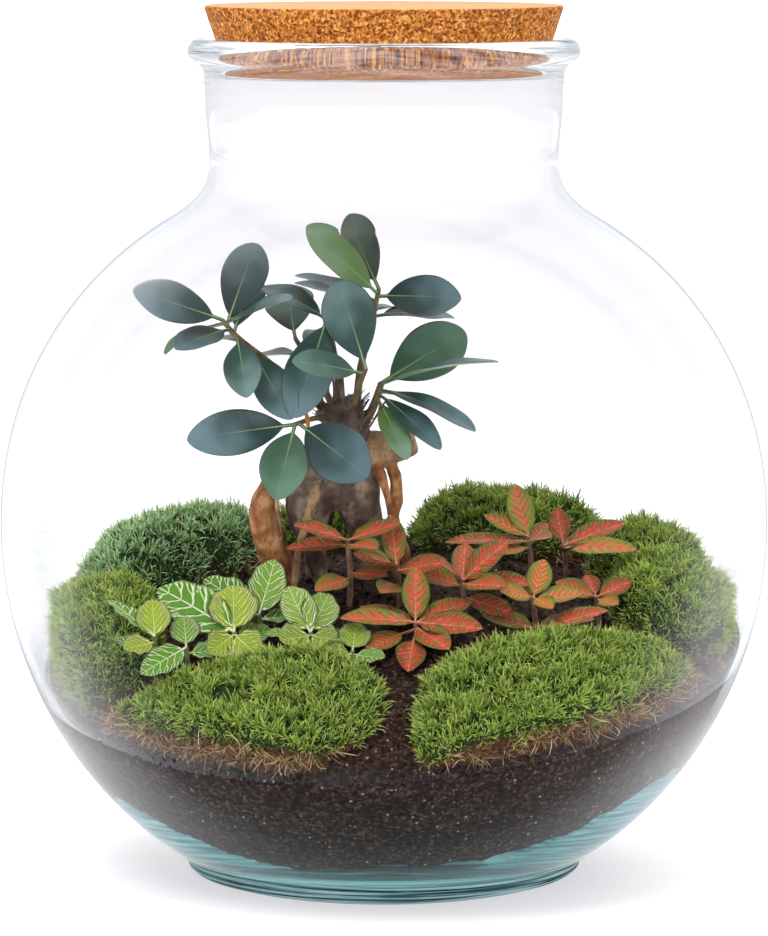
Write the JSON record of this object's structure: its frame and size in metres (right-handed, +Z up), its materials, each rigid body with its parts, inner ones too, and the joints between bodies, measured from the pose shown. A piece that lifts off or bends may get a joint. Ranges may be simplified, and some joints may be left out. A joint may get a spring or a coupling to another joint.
{
  "type": "glass plant terrarium",
  "caption": "Round glass jar with a cork stopper holding a small grafted fig tree, red- and white-veined nerve plants and moss cushions on sloping soil.",
  "frame": {"origin": "centre of the ring that the jar stands on, at floor level", "axes": "+Z up through the cork, -Y towards the front with the low side of the soil, +X to the right of the viewer"},
  "size_m": [0.3, 0.3, 0.3405],
  "materials": {
    "glass": "gloss",
    "cork": "matte",
    "soil": "matte",
    "bark": "matte",
    "fig_leaf": "satin",
    "white_vein_leaf": "satin",
    "red_vein_leaf": "satin",
    "moss": "matte"
  },
  "bodies": {
    "root": {"glass_jar": "glass", "cork_stopper": "cork", "soil_bed": "soil", "fig_trunk": "bark", "fig_spray_left": "fig_leaf", "fig_spray_low_left": "fig_leaf", "fig_spray_back_left": "fig_leaf", "fig_spray_middle": "fig_leaf", "fig_spray_hanging": "fig_leaf", "fig_spray_top": "fig_leaf", "fig_spray_right": "fig_leaf", "white_nerve_plant_a": "white_vein_leaf", "white_nerve_plant_b": "white_vein_leaf", "white_nerve_plant_c": "white_vein_leaf", "white_nerve_plant_d": "white_vein_leaf", "white_nerve_plant_e": "white_vein_leaf", "white_nerve_plant_f": "white_vein_leaf", "red_nerve_plant_a": "red_vein_leaf", "red_nerve_plant_b": "red_vein_leaf", "red_nerve_plant_c": "red_vein_leaf", "red_nerve_plant_d": "red_vein_leaf", "red_nerve_plant_e": "red_vein_leaf", "red_nerve_plant_f": "red_vein_leaf", "red_nerve_plant_g": "red_vein_leaf", "red_nerve_plant_h": "red_vein_leaf", "moss_front_left": "moss", "moss_front_right": "moss", "moss_left": "moss", "moss_back_left": "moss", "moss_back_middle": "moss", "moss_back_right": "moss", "moss_right_back": "moss", "moss_right": "moss"}
  },
  "joints": []
}
